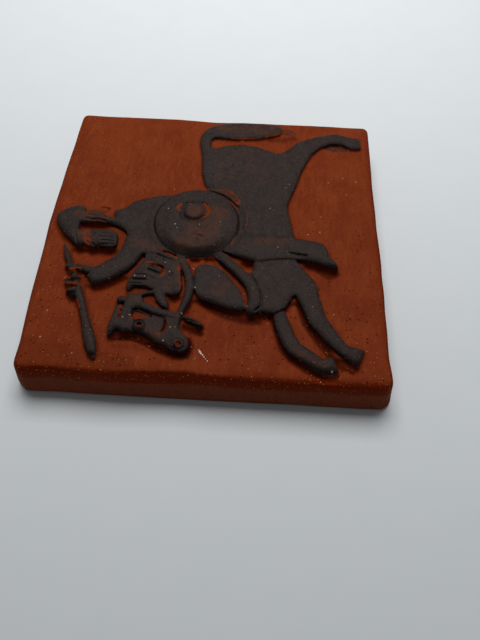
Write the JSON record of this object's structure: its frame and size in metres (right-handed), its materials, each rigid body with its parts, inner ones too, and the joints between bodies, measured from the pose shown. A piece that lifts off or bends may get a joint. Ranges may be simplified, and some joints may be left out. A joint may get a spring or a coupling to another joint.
{
  "type": "relief tile",
  "caption": "Small square slab of fired red clay with a low relief of a mounted spearman and round shield on a plain ground, sides leaning out to a flat back.",
  "frame": {"origin": "centre of the slab's underside, on the flat back face", "axes": "+Z out of the picture, +Y towards the picture's head, +X towards its right side"},
  "size_m": [0.1018, 0.1058, 0.0162],
  "materials": {
    "fired_red_clay": "satin, with a dark matt slip on the raised figure"
  },
  "bodies": {
    "root": {"relief_tile": "fired_red_clay"}
  },
  "joints": []
}
